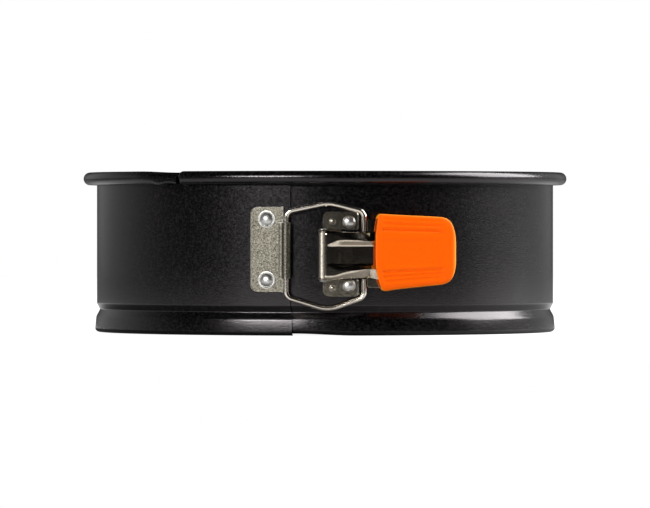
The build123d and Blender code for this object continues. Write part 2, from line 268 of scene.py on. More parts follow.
def strip_half(name, stations, lap_from, shape):
    """One half of the strip: stations are directions in degrees, shape places a section point."""
    count = len(section)
    verts, faces = [], []
    for direction in stations:
        for p in band_outer + band_inner:
            verts.append(shape(direction, p))
    for k in range(len(stations) - 1):
        last = lap_at if lap_from is not None and k >= lap_from else top
        here, there = 2 * count * k, 2 * count * (k + 1)
        for i in range(last):
            faces.append((here + i, there + i, there + i + 1, here + i + 1))
            faces.append((here + count + i + 1, there + count + i + 1, there + count + i, here + count + i))
        faces.append((here, here + count, there + count, there))
        faces.append((here + last, there + last, there + count + last, here + count + last))
    ends = [(0, 0, top), (len(stations) - 1, 0, top if lap_from is None else lap_at)]
    if lap_from is not None:
        ends.append((lap_from, lap_at, top))
    for k, first, last in ends:
        here = 2 * count * k
        for i in range(first, last):
            faces.append((here + i, here + i + 1, here + count + i + 1, here + count + i))
    used = sorted({i for f in faces for i in f})
    index = {old: new for new, old in enumerate(used)}
    return solid(name, [verts[i] for i in used], [tuple(index[i] for i in f) for f in faces], coat_black)


def outer_half(direction, p):
    """Plain circle; the rim draws in and dips a little just before the other end's rim takes over."""
    r, z = p.x, p.y
    gone = (RIM_END - direction) * math.radians(1) * 104
    if z > LAP_TOP + 0.2 and gone < 24:
        close = ease(1 - gone / 22.0)
        share = ease((z - LAP_TOP) / 3.0)
        r -= (0.8 + 0.7 * ease((r - WALL_R + 0.6) / 6.0)) * close * share
        z -= 0.6 * close * ease((z - LAP_TOP) / 5.5)
        if z < 66.5 and r > WALL_R + 0.6:
            z -= 0.55 * bump(gone, 9.0, 2.5)
            z += 0.35 * bump(gone, 3.5, 2.5)
    flare = ease(1 - (OUTER_END - direction) * math.radians(1) * 100 / 2.5)
    r += 0.12 * flare
    lean = 0.45 * ease((z - 7.0) / 6.0) * ease(1 - (OUTER_END - direction) / 6.0)
    a = math.radians(direction - lean)
    return (r * math.cos(a), r * math.sin(a), z)


def inner_half(direction, p):
    """Runs off the circle towards the centre, its lip lifted where it lies over the other end."""
    r, z = p.x, p.y
    if direction < TANGENT_AT:
        r -= INNER_SHIFT
        over = ease(1 - (direction + 98.0) / 15.0)
        z += 0.85 * over * ease((9.5 - z) / 6.0)
        start = (direction - INNER_END) * math.radians(1) * 104
        if z > LAP_TOP + 1.2 and start < 1.2:
            pinch = 0.16 * (1 - math.sqrt(max(0.0, 1 - (1 - start / 1.2) ** 2)))
            mid_r, mid_z = WALL_R - INNER_SHIFT + CURL_R + 0.45, CURL_Z
            r, z = r + (mid_r - r) * pinch, z + (mid_z - z) * pinch
        a = math.radians(direction)
        return (INNER_AXIS[0] + r * math.cos(a), INNER_AXIS[1] + r * math.sin(a), z)
    a = math.radians(direction)
    return (r * math.cos(a), r * math.sin(a), z)


RIM_GAP = 0.35  # degrees between the two rims where they meet
END_RUN = 0.6  # degrees at the inner end that carry finer steps
rim_stop = RIM_END + RIM_GAP
left_stations = [90 + (rim_stop - 90) * k / 190 for k in range(191)]
left_stations += [rim_stop + (OUTER_END - rim_stop) * k / 56 for k in range(1, 57)]
band_catch_side = strip_half("spring_band_catch_side", left_stations, 190, outer_half)
right_stations = [90 - (90 - TANGENT_AT) * k / 160 for k in range(161)]
right_stations += [TANGENT_AT + (INNER_END + END_RUN - TANGENT_AT) * k / 130 for k in range(1, 131)]
right_stations += [INNER_END + END_RUN - 0.12 * k for k in range(1, 6)]
band_latch_side = strip_half("spring_band_latch_side", right_stations, None, inner_half)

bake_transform(band_catch_side)
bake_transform(band_latch_side)
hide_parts("spring_band")
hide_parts("spring_band")

# ------------------------------------------------------------------ base plate
# A disc of the same coated sheet, pressed with a flat rim that drops into the band's groove,
# a step up to the floor and one shallow stiffening ring. It lies loose until the band closes on it.
base_line = rounded(
    [(98.5, 1.5), (95.6, 1.5), (94.6, 3.3), (74.0, 3.3), (73.0, 2.95), (70.0, 2.95), (69.0, 3.3), (40.0, 3.3)],
    [0.7, 0.7, 0.8, 0.8, 0.8, 0.8],
    step=15,
)
base_top, base_under = two_sides(base_line, SHEET)
if base_top[0].y < base_under[0].y:
    base_top, base_under = base_under, base_top
loop = base_top + [Vector((r, 3.6, 0)) for r in (25.0, 10.0)]
under = base_under + [Vector((r, 3.0, 0)) for r in (25.0, 10.0)]
turns = 180
verts, faces = [], []
for k in range(turns):
    a = 2 * math.pi * k / turns
    for p in loop + under:
        verts.append((p.x * math.cos(a), p.x * math.sin(a), p.y))
rows = len(loop)
for k in range(turns):
    here, there = 2 * rows * k, 2 * rows * ((k + 1) % turns)
    for i in range(rows - 1):
        faces.append((here + i, there + i, there + i + 1, here + i + 1))
        faces.append((here + rows + i + 1, there + rows + i + 1, there + rows + i, here + rows + i))
    faces.append((here, here + rows, there + rows, there))
verts += [(0, 0, 3.6), (0, 0, 3.0)]
for k in range(turns):
    here, there = 2 * rows * k, 2 * rows * ((k + 1) % turns)
    faces.append((here + rows - 1, there + rows - 1, len(verts) - 2))
    faces.append((there + 2 * rows - 1, here + 2 * rows - 1, len(verts) - 1))
base_plate = solid("base_plate_disc", verts, faces, coat_black)
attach(base_plate, "base")
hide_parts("base_plate")

# ------------------------------------------------------------------ catch plate
# Nickel-plated steel, 0.8 mm, blanked with rounded corners and curved to the wall. The middle of
# its right edge is rolled forward into a knuckle that holds the bail's long leg.
PLATE = 0.8
KNUCKLE = (-16.4, -101.28)
KNUCKLE_MID = 1.6

# Handled surfaces: edges scuffed brighter by handling and lightened as a painted highlight, found where the
# true normal and a rounded one part
edge_scuff_and_highlight, g_in, g_out = group("edge scuff and painted highlight", {"Reach mm": 0.3, "Break up mm": 1.2, "Amount": 1.0}, ["Mask"])
soft = put(edge_scuff_and_highlight, "ShaderNodeBevel", samples=6)
plain = put(edge_scuff_and_highlight, "ShaderNodeNewGeometry")
apart = put(edge_scuff_and_highlight, "ShaderNodeVectorMath", operation="DOT_PRODUCT")
edge_scuff_and_highlight.links.new(reckon(edge_scuff_and_highlight, "MULTIPLY", g_in.outputs["Reach mm"], MM), soft.inputs["Radius"])
edge_scuff_and_highlight.links.new(soft.outputs["Normal"], apart.inputs[0])
edge_scuff_and_highlight.links.new(plain.outputs["Normal"], apart.inputs[1])
turned = span(edge_scuff_and_highlight, apart.outputs["Value"], 0.995, 0.86, 0.0, 1.0)
place = put(edge_scuff_and_highlight, "ShaderNodeTexCoord").outputs["Object"]
patch_scale = reckon(edge_scuff_and_highlight, "DIVIDE", PER_METRE, g_in.outputs["Break up mm"])
patch = noise(edge_scuff_and_highlight, place, patch_scale, Detail=3.0, Roughness=0.6)
scuff_and_highlight_mask = reckon(edge_scuff_and_highlight, "MULTIPLY", turned, span(edge_scuff_and_highlight, patch, 0.3, 0.6, 0.45, 1.0))
scuff_and_highlight_mask = reckon(edge_scuff_and_highlight, "MULTIPLY", scuff_and_highlight_mask, g_in.outputs["Amount"], clamp=True)
edge_scuff_and_highlight.links.new(scuff_and_highlight_mask, g_out.inputs["Mask"])


def plated_finish(name, dark, light, smooth, rough, grain=0.35, scuff_and_highlight_amount=0.9):
    """Plated sheet: mottled grain under the plating, edges scuffed bright and lit by a painted highlight."""
    material, tree, shader = finish(name)
    skin = use(tree, pebble, Size_mm=0.34, Swell_mm=2.4, Swell_share=0.8)
    scuff_and_highlight_mask = use(tree, edge_scuff_and_highlight, Reach_mm=0.3, Break_up_mm=1.4, Amount=scuff_and_highlight_amount)
    tone = dress(tree, shader, skin, grain, 0.00005, (rough, smooth), (0.36, 0.68), dark, light)
    # Painted highlight: the edge mask mixes the plating towards almost white, partly scuffing and partly
    # standing in for edge highlights.
    bright = put(tree, "ShaderNodeMix", data_type="RGBA")
    bright.inputs["B"].default_value = (0.95, 0.92, 0.86, 1)
    shader.inputs["Metallic"].default_value = 1.0
    tree.links.new(scuff_and_highlight_mask.outputs["Mask"], bright.inputs["Factor"])
    tree.links.new(tone, bright.inputs["A"])
    tree.links.new(bright.outputs["Result"], shader.inputs["Base Color"])
    return material


# Painted shade: the catch plate's plating is a much darker copy of the plated steel on the bracket and lever,
# darkened to hold down the light it takes from the left soft box.
shaded_plate_dark, shaded_plate_light = (0.035, 0.032, 0.023), (0.31, 0.29, 0.235)
plated = plated_finish("plated steel, rolled grain, darkened as painted shade", shaded_plate_dark, shaded_plate_light, 0.28, 0.44)


def cut_sheet(outline, bends, edge):
    """Flat sheet to an outline in x and z, cut across where it bends, with its edges dulled."""
    work = bmesh.new()
    work.faces.new([work.verts.new((x, 0, z)) for x, z in outline])
    for x in bends:
        everything = work.verts[:] + work.edges[:] + work.faces[:]
        bmesh.ops.bisect_plane(work, geom=everything, plane_co=(x, 0, 0), plane_no=(1, 0, 0))
    grown = bmesh.ops.extrude_face_region(work, geom=work.faces[:])
    for v in grown["geom"]:
        if isinstance(v, bmesh.types.BMVert):
            v.co.y -= PLATE
    bmesh.ops.translate(work, verts=work.verts, vec=(0, PLATE / 2, 0))
    bmesh.ops.recalc_face_normals(work, faces=work.faces)
    crisp = []
    for e in work.edges:
        flat = abs(e.verts[0].co.y - e.verts[1].co.y) < 1e-4
        if len(e.link_faces) == 2 and e.calc_face_angle() > 1.2 and flat:
            crisp.append(e)
    bmesh.ops.bevel(work, geom=crisp, offset=edge, segments=1, affect="EDGES")
    return work


def form_sheet(name, work, place, material):
    """A cut sheet brought to its formed shape; place moves each of its points."""
    work.verts.index_update()
    verts = [place(v.co) for v in work.verts]
    faces = [tuple(v.index for v in f.verts) for f in work.faces]
    work.free()
    return solid(name, verts, faces, material, sharp=20)


def blank(name, outline, axis, middle_r, material, edge):
    """A sheet blank curved to the wall, cut across at every millimetre."""
    x_low, x_high = min(x for x, z in outline), max(x for x, z in outline)
    bends, x = [], x_low + 1.0
    while x < x_high - 0.2:
        bends.append(x)
        x += 1.0

    def curve(p):
        r = middle_r - p.y
        return (p.x, axis[1] - math.sqrt(r * r - (p.x - axis[0]) ** 2), p.z)

    return form_sheet(name, cut_sheet(outline, bends, edge), curve, material)


def corners(points, radii):
    """Closed outline with rounded corners; radii belong to the points in order."""
    count = len(points)
    line = []
    for k in range(count):
        before, here, after = points[k - 1], points[k], points[(k + 1) % count]
        if radii[k] > 0:
            line += [(p.x, p.y) for p in rounded([before, here, after], [radii[k]])[1:-1]]
        else:
            line.append(here)
    return line


def tube_faces(rings, around):
    """Faces between rings of points that follow one another."""
    made = []
    for k in range(rings - 1):
        for i in range(around):
            j = (i + 1) % around
            made.append((around * k + i, around * k + j, around * (k + 1) + j, around * (k + 1) + i))
    return made


def rolled_strip(name, line, low, high, material, edge=0.14, thick=PLATE):
    """A strip of sheet that follows a plan line, between two heights, with dulled edges."""
    left, right = two_sides(line, thick)
    verts = []
    for a, b in zip(left, right):
        inward = (b - a).normalized() * edge
        c, d = a + inward, b - inward
        verts += [(a.x, a.y, low + edge), (a.x, a.y, high - edge), (c.x, c.y, high), (d.x, d.y, high)]
        verts += [(b.x, b.y, high - edge), (b.x, b.y, low + edge), (d.x, d.y, low), (c.x, c.y, low)]
    faces = tube_faces(len(line), 8)
    end = 8 * (len(line) - 1)
    faces.append(tuple(range(8)))
    faces.append(tuple(end + i for i in reversed(range(8))))
    return solid(name, verts, faces, material, sharp=20)


def merge(name, *pieces):
    """Several meshes of one real piece, as one object."""
    work = bmesh.new()
    finishes = []
    for piece in pieces:
        own, before = piece.data.materials[-1], len(work.faces)
        if own not in finishes:
            finishes.append(own)
        work.from_mesh(piece.data)
        work.faces.ensure_lookup_table()
        for face in work.faces[before:]:
            face.material_index = finishes.index(own)
    mesh = bpy.data.meshes.new(name)
    work.to_mesh(mesh)
    work.free()
    for own in finishes:
        mesh.materials.append(own)
    for piece in pieces:
        bpy.data.objects.remove(piece)
    made = bpy.data.objects.new(name, mesh)
    bpy.context.scene.collection.objects.link(made)
    return made


catch_outline = corners([(-31.8, 18.4), (-17.5, 18.4), (-17.5, 54.9), (-31.8, 54.9)], [3.2, 0.3, 0.3, 3.2])
catch_blank = blank("catch_blank", catch_outline, (0, 0), 101.0, plated, edge=0.26)
fold = [Vector((x, -math.sqrt(100.85**2 - x * x), 0)) for x in (-20.8, -20.2)]
rise = ((-19.6, 101.0), (-19.1, 101.22), (-18.6, 101.3))
fold += [Vector((x, -math.sqrt(r * r - x * x), 0)) for x, r in rise]
fold += arc(KNUCKLE[0], KNUCKLE[1], KNUCKLE_MID, 96, -300, step=10)
catch_roll = rolled_strip("catch_roll", fold, 24.2, 48.0, plated)
catch_plate = merge("catch_plate_pressing", catch_blank, catch_roll)
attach(catch_plate, "catch_end")
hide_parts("catch_plate")

# ------------------------------------------------------------------ rivets
# Four solid steel rivets, domed outside and set flat inside. The two on the catch plate stand on
# a formed collar. Each pair is turned from one profile and set square to the wall.
rivet_bright, tree, shader = finish("bright rivet steel")
skin = use(tree, pebble, Size_mm=0.5, Swell_mm=1.8, Swell_share=1.0)
dark, light = (0.50, 0.49, 0.47), (0.74, 0.74, 0.72)
tone = dress(tree, shader, skin, 0.22, 0.00004, (0.34, 0.44), (0.3, 0.7), dark, light)
tree.links.new(tone, shader.inputs["Base Color"])
shader.inputs["Metallic"].default_value = 1.0


def turned_tree(label, profile):
    """Geometry nodes: turns a profile of height and radius, then sets copies along a line."""
    tree = bpy.data.node_groups.new(label, "GeometryNodeTree")
    sockets = {"Spacing": "Float", "Count": "Int", "Lean": "Float", "Seat": "Vector", "Material": "Material"}
    for name, kind in sockets.items():
        tree.interface.new_socket(name=name, in_out="INPUT", socket_type="NodeSocket" + kind)
    tree.interface.new_socket(name="Geometry", in_out="OUTPUT", socket_type="NodeSocketGeometry")
    asked, out = tree.nodes.new("NodeGroupInput"), tree.nodes.new("NodeGroupOutput")
    link = tree.links.new
    blankfield = put(tree, "GeometryNodeMeshGrid")
    blankfield.inputs["Size X"].default_value = 1.0
    blankfield.inputs["Size Y"].default_value = 1.0
    blankfield.inputs["Vertices X"].default_value = 4 * len(profile) - 3
    blankfield.inputs["Vertices Y"].default_value = 49
    where = put(tree, "GeometryNodeInputPosition")
    parts = put(tree, "ShaderNodeSeparateXYZ")
    link(where.outputs[0], parts.inputs[0])
    along = reckon(tree, "ADD", parts.outputs["X"], 0.5)
    angle = reckon(tree, "MULTIPLY", parts.outputs["Y"], 2 * math.pi)
    low, high = min(h for h, r in profile), max(h for h, r in profile)
    widest = max(r for h, r in profile)
    read = []
    for values in ([(h - low) / (high - low) for h, r in profile], [r / widest for h, r in profile]):
        curve = put(tree, "ShaderNodeFloatCurve")
        points = curve.mapping.curves[0].points
        while len(points) < len(values):
            points.new(0.5, 0.5)
        for k, (point, value) in enumerate(zip(points, values)):
            point.location = (k / (len(values) - 1), value)
            point.handle_type = "VECTOR"
        curve.mapping.update()
        link(along, curve.inputs["Value"])
        read.append(curve.outputs[0])
    height = reckon(tree, "MULTIPLY_ADD", read[0], (high - low) * MM, low * MM)
    reach = reckon(tree, "MULTIPLY", read[1], widest * MM)
    place = put(tree, "ShaderNodeCombineXYZ")
    link(height, place.inputs["Z"])
    for axis, function in (("X", "COSINE"), ("Y", "SINE")):
        link(reckon(tree, "MULTIPLY", reckon(tree, function, angle), reach), place.inputs[axis])
    set_place = put(tree, "GeometryNodeSetPosition")
    link(blankfield.outputs["Mesh"], set_place.inputs["Geometry"])
    link(place.outputs[0], set_place.inputs["Position"])
    closed = put(tree, "GeometryNodeMergeByDistance")
    closed.inputs["Distance"].default_value = 0.000004
    link(set_place.outputs[0], closed.inputs["Geometry"])
    row = put(tree, "GeometryNodeMeshLine")
    offset = put(tree, "ShaderNodeCombineXYZ")
    copies = put(tree, "GeometryNodeInstanceOnPoints")
    turn = put(tree, "ShaderNodeCombineXYZ")
    turn.inputs["X"].default_value = math.pi / 2
    real = put(tree, "GeometryNodeRealizeInstances")
    paint = put(tree, "GeometryNodeSetMaterial")
    link(asked.outputs["Count"], row.inputs["Count"])
    link(asked.outputs["Seat"], row.inputs["Start Location"])
    link(asked.outputs["Spacing"], offset.inputs["Z"])
    link(offset.outputs[0], row.inputs["Offset"])
    link(row.outputs[0], copies.inputs["Points"])
    link(closed.outputs[0], copies.inputs["Instance"])
    link(asked.outputs["Lean"], turn.inputs["Z"])
    link(turn.outputs[0], copies.inputs["Rotation"])
    link(copies.outputs[0], real.inputs[0])
    link(real.outputs[0], paint.inputs["Geometry"])
    link(asked.outputs["Material"], paint.inputs["Material"])
    link(paint.outputs[0], out.inputs[0])
    return tree


def turned_row(name, tree, material, seat, lean, spacing=0.0, count=1):
    """Runs a turning tree once and keeps the result as a plain mesh."""
    holder = bpy.data.objects.new(name + "_holder", bpy.data.meshes.new(name + "_holder"))
    bpy.context.scene.collection.objects.link(holder)
    made = holder.modifiers.new("turned", "NODES")
    made.node_group = tree
    wanted = {"Spacing": spacing * MM, "Count": count, "Lean": lean, "Material": material}
    wanted["Seat"] = [c * MM for c in seat]
    for item in tree.interface.items_tree:
        if item.in_out == "INPUT":
            made[item.identifier] = wanted[item.name]
    bpy.context.view_layer.update()
    mesh = bpy.data.meshes.new_from_object(holder.evaluated_get(bpy.context.evaluated_depsgraph_get()))
    bpy.data.objects.remove(holder)
    mesh.name = name
    work = bmesh.new()
    work.from_mesh(mesh)
    bmesh.ops.recalc_face_normals(work, faces=work.faces)
    work.to_mesh(mesh)
    work.free()
    mesh.polygons.foreach_set("use_smooth", [True] * len(mesh.polygons))
    mesh.set_sharp_from_angle(angle=math.radians(40))
    piece = bpy.data.objects.new(name, mesh)
    bpy.context.scene.collection.objects.link(piece)
    return piece


def seat_on(axis, radius, x, z):
    """Place and lean of a rivet seated on a curved plate's outer face."""
    return (x, axis[1] - math.sqrt(radius**2 - (x - axis[0]) ** 2), z), math.asin((x - axis[0]) / radius)


def dome(radius, low, high, steps=9):
    """Heights and radii over a low cap, from its foot to its crown."""
    cap = high - low
    ball = (radius * radius + cap * cap) / (2 * cap)
    full = math.asin(min(1.0, radius / ball))
    line = []
    for k in range(steps + 1):
        a = full * (1 - k / steps)
        line.append((high - ball + ball * math.cos(a), max(0.0, ball * math.sin(a))))
    return line


collared = [(-1.86, 0.0), (-1.86, 2.3), (-1.76, 2.5), (-1.58, 2.5), (-1.56, 1.5), (-0.1, 1.5), (-0.1, 3.7)]
collared += [(0.06, 3.76), (0.22, 3.66), (0.24, 3.52), (0.12, 3.40), (-0.02, 3.26), (-0.04, 3.08), (0.04, 2.96)]
collared += [(0.16, 2.86)] + dome(2.8, 0.30, 1.60)
collar_rivet = turned_tree("collared rivet", collared)
seat, lean = seat_on((0, 0), 101.4, -24.8, 23.6)
catch_rivets = turned_row("catch_rivets", collar_rivet, rivet_bright, seat, lean, spacing=25.8, count=2)
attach(catch_rivets, "catch_end")
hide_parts("catch_rivet_upper", "catch_rivet_lower")

INNER_FACE = 99.0
plain_head = [(-2.04, 0.0), (-2.04, 2.2), (-1.96, 2.42), (-1.58, 2.5), (-1.56, 1.5), (-0.1, 1.5), (-0.1, 2.7)]
plain_head += [(0.06, 2.78), (0.16, 2.76)] + dome(2.66, 0.34, 1.60)
plain_rivet = turned_tree("plain rivet", plain_head)
seat, lean = seat_on(INNER_AXIS, INNER_FACE + 0.9, 10.2, 21.3)
bracket_rivets = turned_row("bracket_rivets", plain_rivet, rivet_bright, seat, lean, spacing=27.0, count=2)
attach(bracket_rivets, "latch_end")
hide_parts("bracket_rivet_upper", "bracket_rivet_lower")

# ------------------------------------------------------------------ lever bracket
# The same plated sheet, blanked as a C and curved to the band's inner end. A tongue from its
# left strip is raised and rolled round the pivot pin. Two small pips are coined beside the rivets.
PIVOT = (-0.9, -103.5)
LEVER_Z = 34.2
# Painted highlight: the rolled tongue is a much lighter copy of the bracket's plated steel, standing in for the
# light that its round face catches.
roll_painted_highlight = plated_finish(
    "plated steel, rolled tongue, lightened as painted highlight", (0.42, 0.37, 0.30), (0.88, 0.82, 0.72), 0.26, 0.42, grain=0.2
)
plated_dark = plated_finish(
    "plated steel, blanked", (0.10, 0.088, 0.06), (0.60, 0.54, 0.44), 0.14, 0.30, grain=0.55, scuff_and_highlight_amount=1.6
)
bracket_outline = corners(
    [
        (-1.0, 16.5),
        (14.2, 16.5),
        (14.2, 23.9),
        (6.0, 23.9),
        (6.0, 45.0),
        (14.2, 45.0),
        (14.2, 52.8),
        (-1.0, 52.8),
    ],
    [2.8, 1.6, 0.6, 1.2, 1.2, 0.6, 1.6, 2.8],
)
bracket_blank = blank("bracket_blank", bracket_outline, INNER_AXIS, INNER_FACE + 0.5, plated_dark, edge=0.28)
tongue_line = rounded([(4.6, -100.16), (3.9, -100.25), (2.1, -102.02), (PIVOT[0], -102.02)], [0.9, 0.9])
tongue_line += arc(PIVOT[0], PIVOT[1], 1.48, 90, 290, step=10)[1:]
bracket_tongue = rolled_strip("bracket_tongue", tongue_line, LEVER_Z - 9.7, LEVER_Z + 9.7, roll_painted_highlight)
pip = turned_tree("coined pip", [(-0.3, 0.0), (-0.3, 1.3), (-0.02, 1.35)] + dome(1.2, 0.02, 0.5, steps=7))
seat, lean = seat_on(INNER_AXIS, INNER_FACE + 0.9, 3.2, 20.2)
pips = turned_row("pips", pip, plated_dark, seat, lean, spacing=28.2, count=2)
lever_bracket = merge("lever_bracket_pressing", bracket_blank, bracket_tongue, pips)
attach(lever_bracket, "latch_end")
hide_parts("lever_bracket")

# ------------------------------------------------------------------ pivot pin
# A 2 mm steel pin through the lever's ears and the bracket's rolled tongue, headed at both ends.
pin_profile = [(-11.25, 0.9), (-11.2, 1.3), (-11.0, 1.5), (-10.79, 1.5), (-10.78, 1.0)]
pin_profile += [(-h, r) for h, r in reversed(pin_profile)]
PIN_SIDES = 40
pin_verts, pin_faces = [], []
for k in range(PIN_SIDES):
    a = 2 * math.pi * k / PIN_SIDES
    for h, r in pin_profile:
        pin_verts.append((PIVOT[0] + r * math.cos(a), PIVOT[1] + r * math.sin(a), LEVER_Z + h))
rows = len(pin_profile)
for k in range(PIN_SIDES):
    here, there = rows * k, rows * ((k + 1) % PIN_SIDES)
    for i in range(rows - 1):
        pin_faces.append((here + i, there + i, there + i + 1, here + i + 1))
pin_faces.append(tuple(rows * k for k in reversed(range(PIN_SIDES))))
pin_faces.append(tuple(rows * k + rows - 1 for k in range(PIN_SIDES)))
pivot_pin = solid("pivot_pin_headed", pin_verts, pin_faces, rivet_bright)
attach(pivot_pin, "latch_end")
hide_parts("pivot_pin")

# ------------------------------------------------------------------ lever
# A deep pressing of plated sheet: a web with a long recess, two drafted flanges with an ear at the
# pivot and a lug at the hook hole, and flat wings that carry on into the grip as a tab.
plated_drawn = plated_finish(
    "plated steel, drawn", (0.52, 0.44, 0.34), (0.86, 0.78, 0.66), 0.08, 0.16, grain=0.12
)
WEB_Y = -106.7
HOOK = (16.6, -101.9)
SLOPE = math.radians(10.0)
BEND_X, TAB_Y = 20.0, -103.1  # where the wings bend, and the tab's middle layer before the bend
EAR_R, EAR_EDGE = 1.95, 0.15


def web_face(x):
    """Outer face of the web, running down into the grip."""
    drop = 1.5 * ease((x - 11.0) / 9.5)
    return WEB_Y + drop + max(0.0, x - BEND_X) * math.tan(SLOPE)


def flange_half(x):
    """Half width of the channel: wide at the ears, narrower at the hooks, then spreading."""
    return 10.75 - 0.75 * ease((x - 3.0) / 6.0) + 0.9 * ease((x - 18.0) / 5.0)


def flange_foot(x):
    """Edge of the flange nearest the wall, with the round lug at the hook hole."""
    foot = -101.2 - 1.5 * ease((x - 18.3) / 0.9) + max(0.0, x - BEND_X) * math.tan(SLOPE)
    if abs(x - HOOK[0]) < 2.0:
        foot = max(foot, HOOK[1] + math.sqrt(4.0 - (x - HOOK[0]) ** 2))
    return foot


def lever_section(x):
    """Half section of the pressing at x, from the recess's middle out to the flange's foot."""
    face, half, foot = web_face(x), flange_half(x), flange_foot(x)
    deep = 0.01 + 0.8 * min(1.0, max(0.0, (x - 1.0) / 4.1)) + 0.9 * ease((x - 4.6) / 3.4)
    bend = 1.5 + 3.4 * ease((x - 1.5) / 24.0)
    floor_half = 3.9 + 0.2 * ease((x - 3.0) / 3.0)
    fall = min(0.75 * bend, 0.75 * (foot - face))
    points = [
        (0.0, face + deep),
        (floor_half, face + deep),
        (floor_half + 0.5 + 1.4 * ease((x - 0.5) / 6.0), face),
        (half - bend, face),
        (half - 0.2, face + fall),
        (half, foot),
    ]
    return rounded(points, [0.6, 0.8, 0.6 * bend, 0.35 * fall], step=12)


def resample(line, count):
    """The same line as evenly spaced points."""
    lengths = [0.0]
    for a, b in zip(line, line[1:]):
        lengths.append(lengths[-1] + (b - a).length)
    made, k = [], 0
    for i in range(count):
        want = lengths[-1] * i / (count - 1)
        while k < len(line) - 2 and lengths[k + 1] < want:
            k += 1
        run = lengths[k + 1] - lengths[k]
        t = 0 if run == 0 else (want - lengths[k]) / run
        made.append(line[k].lerp(line[k + 1], min(1.0, t)))
    return made


lever_xs = [-0.4, -0.3, -0.1, 0.2, 0.6] + [1.0 + 0.3 * k for k in range(57)]
lever_xs += [18.1, 18.3, 18.5, 18.75, 19.0, 19.3, 19.7]
lever_xs += [20.2, 20.8, 21.5, 22.3, 23.2, 24.2, 25.4]
across = 44
verts, faces = [], []
for x in lever_xs:
    half_line = resample(lever_section(max(x, 0.2)), across)
    full = [Vector((-p.x, p.y, 0)) for p in reversed(half_line)] + half_line[1:]
    pull = 0.8 * (1 - math.sqrt(max(0.0, 1 - (1 - (x + 0.4) / 1.0) ** 2))) if x < 0.6 else 0.0
    one, two = two_sides(full, PLATE)
    inner = list(full)
    for k, p in enumerate(full):
        deeper = (two[k] - one[k]).normalized()
        inward = deeper if deeper.dot(Vector((0, -96.0, 0)) - p) > 0 else -deeper
        inner[k] = p + inward * PLATE
    for p in full:
        verts.append((x, p.y + pull * ease((-103.5 - p.y) / 2.0), LEVER_Z + p.x))
    for p in inner:
        verts.append((x, p.y + pull * ease((-103.5 - p.y) / 2.0) * 0.4, LEVER_Z + p.x))
wide = 2 * across - 1
for k in range(len(lever_xs) - 1):
    here, there = 2 * wide * k, 2 * wide * (k + 1)
    for i in range(wide - 1):
        faces.append((here + i, there + i, there + i + 1, here + i + 1))
        faces.append((here + wide + i + 1, there + wide + i + 1, there + wide + i, here + wide + i))
    faces.append((here, here + wide, there + wide, there))
    faces.append((here + wide - 1, there + wide - 1, there + 2 * wide - 1, here + 2 * wide - 1))
for k in (0, len(lever_xs) - 1):
    here = 2 * wide * k
    for i in range(wide - 1):
        faces.append((here + i, here + i + 1, here + wide + i + 1, here + wide + i))
lever_channel = solid("lever_channel", verts, faces, plated_drawn, sharp=42)

# Ears: rounded plates round the pin, a hair thicker than the flange that they grow from
ear_parts = []
for side in (-1, 1):
    angles = [math.radians(80 + 6 * k) for k in range(27)]
    line = [(PIVOT[0] + EAR_R * math.cos(a), PIVOT[1] + EAR_R * math.sin(a)) for a in angles]
    line += [(0.2, -105.6), (1.6, -105.4), (1.6, -101.2)]
    rim_verts, rim_faces = [], []
    low, high = sorted((LEVER_Z + side * 9.93, LEVER_Z + side * 10.77))
    mid = Vector((sum(p[0] for p in line) / len(line), sum(p[1] for p in line) / len(line)))
    for x, y in line:
        toward = (mid - Vector((x, y))).normalized() * EAR_EDGE
        in_x, in_y = x + toward.x, y + toward.y
        rim_verts += [(in_x, in_y, low), (x, y, low + EAR_EDGE), (x, y, high - EAR_EDGE), (in_x, in_y, high)]
    count = len(line)
    for k in range(count):
        a, b = 4 * k, 4 * ((k + 1) % count)
        for i in range(3):
            rim_faces.append((a + i, b + i, b + i + 1, a + i + 1))
    rim_faces.append(tuple(4 * k for k in reversed(range(count))))
    rim_faces.append(tuple(4 * k + 3 for k in range(count)))
    ear_parts.append(solid("ear", rim_verts, rim_faces, plated_drawn, sharp=30))


# Wings and tab: one flat leaf, bent ten degrees towards the wall where the grip begins
def leaf(name, outline):
    """Flat leaf of the lever's sheet, following the bend."""
    def bend(p):
        return (p.x, p.y + TAB_Y + max(0.0, p.x - BEND_X) * math.tan(SLOPE), p.z)

    return form_sheet(name, cut_sheet(outline, (19.4, 19.8, 20.2, 20.6), 0.13), bend, plated_drawn)


wing_low_edge = [(17.85, 20.4), (25.9, 20.4), (25.9, 25.0), (17.85, 25.0)]
wing_high_edge = [(17.85, 43.4), (25.9, 43.4), (25.9, 49.5), (17.85, 49.5)]
tab_edge = [(25.5, 23.8), (49.2, 23.8), (49.2, 46.6), (25.5, 46.6)]
wing_low = leaf("wing_low", corners(wing_low_edge, [1.0, 0.3, 0.3, 0.3]))
wing_high = leaf("wing_high", corners(wing_high_edge, [0.3, 0.3, 0.3, 1.0]))
tab = leaf("tab", corners(tab_edge, [1.0, 4.0, 4.0, 1.0]))
lever = merge("lever_pressing", lever_channel, *ear_parts, wing_low, wing_high, tab)
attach(lever, "lever")
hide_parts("lever")

# ------------------------------------------------------------------ lever grip
# A moulded orange silicone sleeve pushed over the tab: a slight bead round its mouth, softly
# rounded at the end, with three shallow finger grooves along each edge of its outer face.
silicone, tree, shader = finish("orange silicone")
skin = use(tree, pebble, Size_mm=0.28, Swell_mm=5.0, Swell_share=0.7)
dark, light = (0.95, 0.108, 0.0), (1.0, 0.132, 0.0)
tone = dress(tree, shader, skin, 0.25, 0.00005, (0.42, 0.55), (0.30, 0.75), dark, light)
